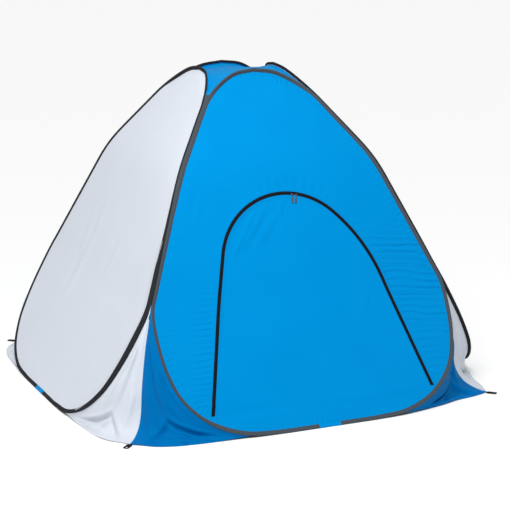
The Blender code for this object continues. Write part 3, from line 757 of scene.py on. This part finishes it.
def make_hoops():
    for seed, wall in enumerate(WALL_TURN):
        body = f"{wall}_wall"
        # The front hoop's binding takes the lighter copy, painted light, and the others take the
        # darker one, painted shade.
        colour = "grey" if wall == "front" else "charcoal"
        keep = (np.abs(HOOP[:, 0]) > SLEEVE_GAP) | (HOOP[:, 1] > 0.5)
        first = int(np.argmax((HOOP[:, 0] > SLEEVE_GAP) & keep))
        order = np.roll(np.arange(len(HOOP)), -first)
        order = order[keep[order]]
        flat, out = HOOP[order], HOOP_OUT[order]
        path, side, off = wall_frames(flat, out, turn=binding_turn(flat, wall))
        wide = 1 + 0.04 * noise(lengths(flat) / 0.05, 0, 70 + seed) + fullness(flat, wall)
        wide = wide[:, None]
        thick = off * np.maximum(wide, 1)
        sleeve = swept(f"{wall}_sleeve", wall, path, side * wide, thick, sleeve_shape(),
                       MATERIALS[colour])
        settle(sleeve, body, f"{wall}_hoop_sleeve")
        for tag, face in (("outer", 1), ("inner", -1)):
            row = path - side * (SLEEVE_FLAT * wide - SEAM_IN) + thick * 0.0016 * face
            settle(stitches(f"{wall}_sleeve_stitches_{tag}", turned(row, WALL_TURN[wall]),
                            turned(off * face, WALL_TURN[wall]), MATERIALS["thread_grey"]), body)

        circle = np.linspace(0, 2 * math.pi, 9)[:-1]
        ring = WIRE_R * np.stack([np.cos(circle), np.sin(circle)], 1)
        wire = swept(f"{wall}_wire", wall, *wall_frames(HOOP, HOOP_OUT), ring, MATERIALS["steel"])
        settle(wire, body, f"{wall}_hoop_wire")
        for slot in frame["nodes"][f"{wall}_hoop_ferrule"].material_slots:
            slot.material = MATERIALS["metal"]

        x = np.linspace(-SLEEVE_GAP, SLEEVE_GAP, 70) * 1.12
        flat = np.stack([x, np.full(len(x), HOOP[0, 1])], 1)
        path, side, off = wall_frames(flat, np.tile([0.0, -1.0], (len(x), 1)))
        pinch = 1.03 + 0.05 * noise(x / 0.008, 0, 90 + seed) + 0.06 * near(np.abs(x), 0.048, 0.004)
        pinch = pinch[:, None]
        patch = swept(f"{wall}_patch", wall, path, side * pinch, off * pinch * 1.10,
                      sleeve_shape(), MATERIALS["blue"])
        settle(patch, body, f"{wall}_sleeve_patch")


# ---- zip ----

def make_zip():
    foot = DOOR_FOOT_S + 0.0015
    # A tape's cross section: flat, with a cord along the teeth
    shape = [(0.0002, -0.0004), (TAPE_HALF, -0.0004), (TAPE_HALF, 0.0001), (0.0022, 0.0004),
             (0.0016, 0.0013), (0.0002, 0.0013)]
    for name, body, node, sign in (("wall", "front_wall", "door_zip_tape_wall_side", 1),
                                   ("door", "door", "door_zip_tape_flap_side", -1)):
        line = arch_line(0.0, foot)
        away = unit((arch_line(0.001, foot) - line) * sign)
        path, *frames = wall_frames(line, away, 0.0004)
        band = tube(f"{name}_tape", path, frames, shape[::sign], MATERIALS["zip"])
        settle(band, body, node)

        # Coil teeth, half a pitch out between the two sides.
        count = int(lengths(line)[-1] / TEETH_PITCH)
        both = resample(np.hstack([line, away]), 2 * count, by=2)[(1 + sign) // 2::2]
        places, side, off = wall_frames(both[:, :2] + both[:, 2:] * 0.0009, both[:, 2:], 0.0018)
        along = np.cross(off, side)
        teeth = grains(f"{name}_teeth", places, (side, along, off), TOOTH_SIZE, MATERIALS["coil"])
        settle(teeth, body)

        # Topstitching beside the zip, through the turned edge of the cloth.
        for tag, gap in TOPSTITCH.items():
            row = arch_line(sign * (ZIP_BAND + gap), DOOR_FOOT_S + 0.004)
            lift = front_relief(row) + SKIN / 2
            up = unit(on_wall(row, lift + 0.001) - on_wall(row, lift))
            thread = stitches(f"{name}_topstitch_{tag}", on_wall(row, lift), up,
                              MATERIALS["thread_blue"])
            settle(thread, body)


def arch_frame(angle, inset):
    """Frame on the arch at an angle right of its top: X along the zip, Y up, Z off the wall."""
    across = np.array([math.sin(angle), math.cos(angle)])
    flat = np.array([ARCH_X, ARCH_S]) + across * (ARCH_R - inset)
    pair = on_wall(np.array([flat, flat + across * 0.001]))
    up = Vector(pair[1] - pair[0]).normalized()
    off = Vector(on_wall(flat[None], 0.001)[0] - pair[0]).normalized()
    frame_matrix = Matrix((up.cross(off), up, off)).transposed().to_4x4()
    return Matrix.Translation(Vector(pair[0])) @ frame_matrix


def plate(name, outline, low, high, material, hole=None):
    """Flat plate with softened edges. It may have a hole, of as many points as its outline."""
    rings = [(outline, low), (outline, high)] + ([(hole, high), (hole, low)] if hole else [])
    points = [(x, y, z) for loop, z in rings for x, y in loop]
    n = len(outline)
    if hole:
        faces = grid_faces(5, n, closed=True) % len(points)
    else:
        caps = [list(range(n))[::-1], list(range(n, 2 * n))]
        faces = grid_faces(2, n, closed=True).tolist() + caps
    obj = add_mesh(name, points, faces, material, sharp=None)
    bevel = obj.modifiers.new("soft_edges", "BEVEL")
    bevel.width = min(0.0005, (high - low) / 4)
    bevel.segments = 2
    bevel.limit_method = "ANGLE"
    return obj


def rounded(length, width, radius, steps=5):
    points = []
    for quarter in range(4):
        cx = (length / 2 - radius) * (1 if quarter in (0, 3) else -1)
        cy = (width / 2 - radius) * (1 if quarter in (0, 1) else -1)
        for i in range(steps + 1):
            a = math.pi / 2 * (quarter + i / steps)
            points.append((cx + radius * math.cos(a), cy + radius * math.sin(a)))
    return points


def make_sliders():
    for side, angle in SLIDER_AT.items():
        place = arch_frame(angle, SLIDER_INSET)
        taper = SLIDER_TAPER * (1 if side == "right" else -1)
        outline = [(x, y * (1 + taper * x)) for x, y in rounded(*SLIDER_PLATE)]
        body = plate(f"{side}_slider_body", outline, *SLIDER_SPAN, MATERIALS["metal"])
        bridge = plate(f"{side}_slider_bridge", rounded(*BRIDGE_PLATE), *BRIDGE_SPAN,
                       MATERIALS["metal"])
        # The pull hangs from the slider, and its hole is near the slider's end.
        half = PULL_PLATE[0] / 2
        middle = -SLIDER_INSET - half
        outline = [(x * (1 - PULL_TAPER * (y - half)), y + middle)
                   for y, x in rounded(*PULL_PLATE)]
        hole = [(x, y + middle + PULL_HOLE_UP) for y, x in rounded(*PULL_HOLE)]
        pull = plate(f"{side}_pull_tab", outline, *PULL_SPAN, MATERIALS["metal"], hole)
        for obj in (body, bridge, pull):
            obj.data.transform(place)
        settle(body, f"{side}_slider", f"{side}_zip_slider")
        settle(bridge, f"{side}_slider")
        settle(pull, f"{side}_pull", f"{side}_zip_pull")


# ---- gussets, hems and peg loops ----

# Creases of a gusset half: start and end as shares of its width and height, width, depth
GUSSET_CREASES = (((0.92, 1.00), (0.57, 0.73), 0.028, -0.013),
                  ((0.70, 0.745), (0.16, 0.93), 0.030, -0.015),
                  ((0.80, 0.93), (0.30, 0.97), 0.040, 0.014),
                  ((0.64, 0.84), (0.44, 1.00), 0.018, -0.006),
                  ((0.52, 0.80), (0.20, 1.00), 0.020, -0.005),
                  ((0.74, 0.20), (0.70, 0.80), 0.100, -0.012),
                  ((0.42, 0.36), (0.38, 0.74), 0.080, 0.009),
                  ((0.90, 0.55), (0.84, 0.95), 0.050, 0.007))


def gusset_grid(rows, columns, wall, hand, corner):
    """Gusset half of the front wall's right-hand side, smooth, from the hoop to the corner seam.
    The front right corner is drawn in: its seam runs close behind the hoop and its hem is tight."""
    drawn = 0.5 if corner == "front_right" else 0.0
    # Seam stations: out along x and y alike, height, and how far the seam may be drawn in
    low_right = (HOOP[:, 0] > GUSSET_FOOT_X) & (HOOP[:, 1] < slope_at(GUSSET_TOP_Z + 0.06))
    hoop_side = resample(seam_line(wall, hand)[low_right][::-1], rows)
    stations = [(0.706, 0.545, 0), (0.720, 0.480, 0), (0.746, 0.390, 0.028), (0.765, 0.300, 0.046),
                (0.781, 0.200, 0.058), (0.791, 0.100, 0.052), (0.808, 0.048, 0.034),
                (0.836, 0.018, 0.012), (PEG_CORNER, 0.0035, 0)]
    seam = [(r - drawn * tight, -(r - drawn * tight), z) for r, z, tight in stations]
    seam = resample(spline(seam), rows)
    hem = [(0.56, -0.984, 0.06), (0.69, -0.968, 0.11), (0.78, -0.935, 0.075),
           (0.832, -0.893, 0.022)]
    hem = [(x, y + drawn * tight, 0.002) for x, y, tight in hem]
    hem = spline([hoop_side[-1], *hem, seam[-1]])
    share = np.linspace(0, 1, columns)[:, None]
    top = hoop_side[0] * (1 - share) + seam[0] * share
    return coons(hoop_side, seam, top, resample(hem, columns))


def gusset_folds(u, v, seed):
    """Depth of a gusset's folds, u from the hoop to the seam and v from its top to its hem."""
    flat = np.stack(np.broadcast_arrays(u, v), 2).reshape(-1, 2)
    depth = np.zeros(len(flat))
    for start, end, width, tall in GUSSET_CREASES:
        slip = 0.05 * noise(seed * 0.37 + tall * 99, width * 50, seed)
        move = np.array([slip, slip * 0.5])
        depth += crease(flat, start + move, end + move, width, tall)
    depth = depth.reshape(v.shape[0], u.shape[1])
    depth = depth + 0.004 * noise(u * 4 + v, v * 4, seed + 1) * v
    pulled = waves(v * 17 + noise(v * 7, u * 3, seed + 2), 1, 0.0013) * np.exp(-u / 0.10)
    depth = depth + pulled * rise(v, 0.05, 0.2)
    return depth * rise(u, 0.0, 0.10) * rise(u, 1.0, 0.88) * rise(v, 0.0, 0.2)


# The two walls that a joined corner's ridge joins, the way across it, and where it stands
CORNER_SEAMS = {"front_left": ("front_wall", "left_wall", (-1, 1), (-1, -1)),
                "front_right": ("front_wall", "right_wall", (1, 1), (1, -1)),
                "back_left": ("left_wall", "back_wall", (1, 1), (-1, 1))}


def join_corner(piece, corner, body):
    """Ride a piece on its body where its corner is left open, else bake its transform into it."""
    if corner not in CORNER_SEAMS:
        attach(piece, body)
        return
    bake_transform(piece)


# The corner at each wall's right-hand side seen from outside, then the one at its left
GUSSET_CORNERS = {"front": ("front_right", "front_left"), "right": ("back_right", "front_right"),
                  "back": ("back_left", "back_right"), "left": ("front_left", "back_left")}


def make_gussets():
    rows, columns = 110, 64
    u, v = np.linspace(0, 1, columns)[None], np.linspace(0, 1, rows)[:, None]
    uv = np.stack(np.broadcast_arrays(u * 0.5, v * 0.6), 2)
    # All eight halves are cut alike, from a cloth laid along the line from hoop top to hoop foot.
    plain = gusset_grid(rows, columns, "back", 1, "back_left")
    for index, (wall, corners) in enumerate(GUSSET_CORNERS.items()):
        colour = WALL_COLOUR[wall]
        for hand, corner in zip((1, -1), corners):
            smooth = gusset_grid(rows, columns, wall, hand, corner)
            folds = gusset_folds(u, v, 200 + 20 * index + hand)
            grid = smooth + grid_normals(smooth) * folds[..., None]
            grid[..., 2] = np.maximum(grid[..., 2], 0.0010)
            grid = turned(grid * (hand, 1, 1), WALL_TURN[wall])[:, ::hand]
            off = grid_normals(grid)
            name = f"{corner}_{colour}_gusset"
            # The blue gussets take the darker copy of the blue fabric, painted shade.
            material = MATERIALS["gusset_shade" if colour == "blue" else colour]
            sheet = cloth(name, grid, uv, material)
            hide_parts(f"{corner}_gusset_{colour}")
            hem = make_hem(f"{name}_hem", grid, off, material)
            thread = MATERIALS[f"thread_{colour}"]
            seam_side = -3 if hand > 0 else 2
            seam_row = stitches(f"{name}_seam_stitches", grid[4:-3, seam_side],
                                -off[4:-3, seam_side], thread)
            for piece in (sheet, hem, seam_row):
                join_corner(piece, corner, f"{wall}_wall")


def make_hem(name, grid, off, material):
    """Rolled hem along a gusset's lower edge."""
    path = grid[-1] + (0, 0, 0.0012)
    up = unit(grid[-3] - grid[-1])
    shape = [(-0.0016, 0), (-0.0010, -0.0013), (0.0010, -0.0014), (0.0095, -0.0010),
             (0.0100, 0), (0.0095, 0.0010), (0.0010, 0.0014), (-0.0010, 0.0013)]
    return tube(name, path, (up, off[-1]), shape, material)


def make_ridge_seams():
    """Narrow strips sewn between the two bindings that meet along each ridge."""
    rows = 200
    ridge = (HOOP[:, 1] > slope_at(GUSSET_TOP_Z)) & (HOOP[:, 1] < slope_at(ROOF_CORNER_Z + 0.012))
    ridge = ridge & (HOOP[:, 0] > 0)
    walls = list(WALL_TURN)
    for wall, following in zip(walls, walls[1:] + walls[:1]):
        corner = GUSSET_CORNERS[wall][0]
        near_side = turned(resample(seam_line(wall)[ridge], rows), WALL_TURN[wall])
        far_side = resample(seam_line(following, -1)[ridge] * (-1, 1, 1), rows)
        far_side = turned(far_side, WALL_TURN[following])
        share = np.linspace(0, 1, 7)[None, :, None]
        grid = near_side[:, None] * (1 - share) + far_side[:, None] * share
        width = float(np.linalg.norm(near_side - far_side, axis=1).mean())
        uv = np.stack(np.broadcast_arrays(lengths(near_side)[:, None], share[..., 0] * width), 2)
        # The front left ridge takes the lighter binding copy, painted light, and the others take
        # the darker one, painted shade.
        colour = "grey" if corner == "front_left" else "charcoal"
        strip = cloth(f"{corner}_ridge_seam", grid, uv, MATERIALS[colour])
        join_corner(strip, corner, f"{wall}_wall")


def make_peg_loops():
    homes = {"front_right": (-45, "front_wall"), "back_right": (45, "right_wall"),
             "back_left": (135, "left_wall"), "front_left": (225, "front_wall")}
    for corner, (turn, body) in homes.items():
        place = (Matrix.Rotation(math.radians(turn), 4, "Z")
                 @ Matrix.Translation((PEG_CORNER * math.sqrt(2) + 0.001 + LOOP_LENGTH / 2, 0, 0)))
        outline = rounded(LOOP_LENGTH, LOOP_WIDTH, LOOP_R, 6)
        hole = [(x + EYE_OUT, y) for x, y in rounded(*EYE_PLATE, 6)]
        loop = plate(f"{corner}_loop", outline, 0.0001, LOOP_T - 0.0002, MATERIALS["webbing"],
                     hole)
        loop.data.transform(place)
        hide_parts(f"{corner}_peg_loop")
        join_corner(loop, corner, body)


# ---- roof ----

def sample(grid, u, v):
    """Points of a square grid at places from 0 to 1 across (u) and down (v) it."""
    last = len(grid) - 1
    x, y = u * last, v * last
    i, j = (np.minimum(k.astype(int), last - 1) for k in (y, x))
    fy, fx = (y - i)[..., None], (x - j)[..., None]
    return ((grid[i, j] * (1 - fx) + grid[i, j + 1] * fx) * (1 - fy)
            + (grid[i + 1, j] * (1 - fx) + grid[i + 1, j + 1] * fx) * fy)


def roof_grid(count):
    """The roof as one stretched cloth between the four bindings: front first, left to right."""
    high = HOOP[:, 1] > slope_at(ROOF_CORNER_Z)
    front, right, back, left = (turned(resample(seam_line(wall)[high][::-1], count), turn)
                                for wall, turn in WALL_TURN.items())
    for this, following in ((front, right), (right, back), (back, left), (left, front)):
        this[-1] = following[0] = (this[-1] + following[0]) / 2
    grid = coons(left[::-1], right, front, back[::-1])
    # Stretched cloth hangs where each point is level with the mean of its neighbours.
    for _ in range(3000):
        around = grid[:-2, 1:-1, 2] + grid[2:, 1:-1, 2] + grid[1:-1, :-2, 2] + grid[1:-1, 2:, 2]
        grid[1:-1, 1:-1, 2] = around / 4
    u, v = np.linspace(0, 1, count)[None], np.linspace(0, 1, count)[:, None]
    rim = np.minimum(np.minimum(u, 1 - u), np.minimum(v, 1 - v))
    bearing = np.arctan2(v - 0.5, u - 0.5)
    gathers = np.sin(bearing * 30 + 3 * noise(bearing * 3, 0, 61))
    ripple = 0.0020 * gathers * np.exp(-rim / 0.08) + 0.004 * noise(u * 4, v * 4, 62)
    grid[..., 2] += ripple * rise(rim, 0, 0.05)
    return grid


def make_roof():
    """Four gores that meet in the middle."""
    count, depth_count = 90, 50
    grid = roof_grid(count)
    t, zero, one = np.linspace(0, 1, count), np.zeros(count), np.ones(count)
    over_front_left = ("front_wall", "left_wall", (0.075, -0.075, 1.4), (0, 0, 1.4))
    gores = {"front": ((t, zero), over_front_left),
             "right": ((one, t), ("front_wall", "right_wall", (0, 0, 1.4), (0.075, 0.075, 1.4))),
             "back": ((t, one), ("left_wall", "back_wall", (0.005, 0.005, 1.4), (0.07, 0.07, 1.4))),
             "left": ((zero, t), over_front_left)}
    out = np.linspace(0.004, 1, depth_count)[:, None]
    for wall, ((u, v), (first, second, start, end)) in gores.items():
        gore = sample(grid, 0.5 + (u - 0.5) * out, 0.5 + (v - 0.5) * out)
        piece = cloth(f"roof_{wall}_gore", gore, gore[..., :2], MATERIALS["blue"])
        if wall == "front":
            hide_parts("roof_cap")
        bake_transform(piece)


# ---- camera, light and floor ----

FLOOR_HALF = 400              # large enough for its far edge to fade into the backdrop


def make_camera():
    data = bpy.data.cameras.new("camera")
    data.lens, data.sensor_width = 115.5, 36.0
    camera = bpy.data.objects.new("camera", data)
    bpy.context.collection.objects.link(camera)
    camera.location = (-3.014, -7.029, 2.310)
    look = Vector((0.0897, 0.0, 0.5435)) - camera.location
    roll = Matrix.Rotation(-0.0034, 4, "Z")
    camera.rotation_euler = (look.to_track_quat("-Z", "Y").to_matrix().to_4x4() @ roll).to_euler()
    bpy.context.scene.camera = camera


def add_light(name, kind, energy, place, target=(0, 0, 0), **values):
    """A light at a place that shines at a target. Only the way there matters for a sun."""
    data = bpy.data.lights.new(name, kind)
    data.energy = energy
    for key, value in values.items():
        setattr(data, key, value)
    light = bpy.data.objects.new(name, data)
    bpy.context.collection.objects.link(light)
    light.location = place
    light.rotation_euler = (Vector(target) - Vector(place)).to_track_quat("-Z", "Y").to_euler()


def make_studio():
    corners = FLOOR_HALF * np.array([(-1, -1, 0), (1, -1, 0), (1, 1, 0), (-1, 1, 0)])
    material, *_ = shader_nodes("floor", (1.0, 1.0, 1.0), 0.95)
    floor = add_mesh("floor", corners, [(0, 1, 2, 3)], material)
    world = bpy.data.worlds.new("studio")
    world.use_nodes = True
    world.node_tree.nodes["Background"].inputs["Color"].default_value = (1, 1, 1, 1)
    world.node_tree.nodes["Background"].inputs["Strength"].default_value = 0.455
    bpy.context.scene.world = world
    bpy.context.scene.view_settings.view_transform = "Standard"
    add_light("sun", "SUN", 1.84, (-0.29, -0.41, 0.87), angle=math.radians(32))
    add_light("key", "AREA", 22, (-1.0, -1.6, 2.6), (-0.15, 0, 1.1), shape="DISK", size=0.7)


def main():
    make_camera()
    make_studio()
    make_front_panel()
    make_door()
    make_plain_panels()
    make_hoops()
    make_zip()
    make_sliders()
    make_gussets()
    make_ridge_seams()
    make_peg_loops()
    make_roof()
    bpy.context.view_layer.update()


main()
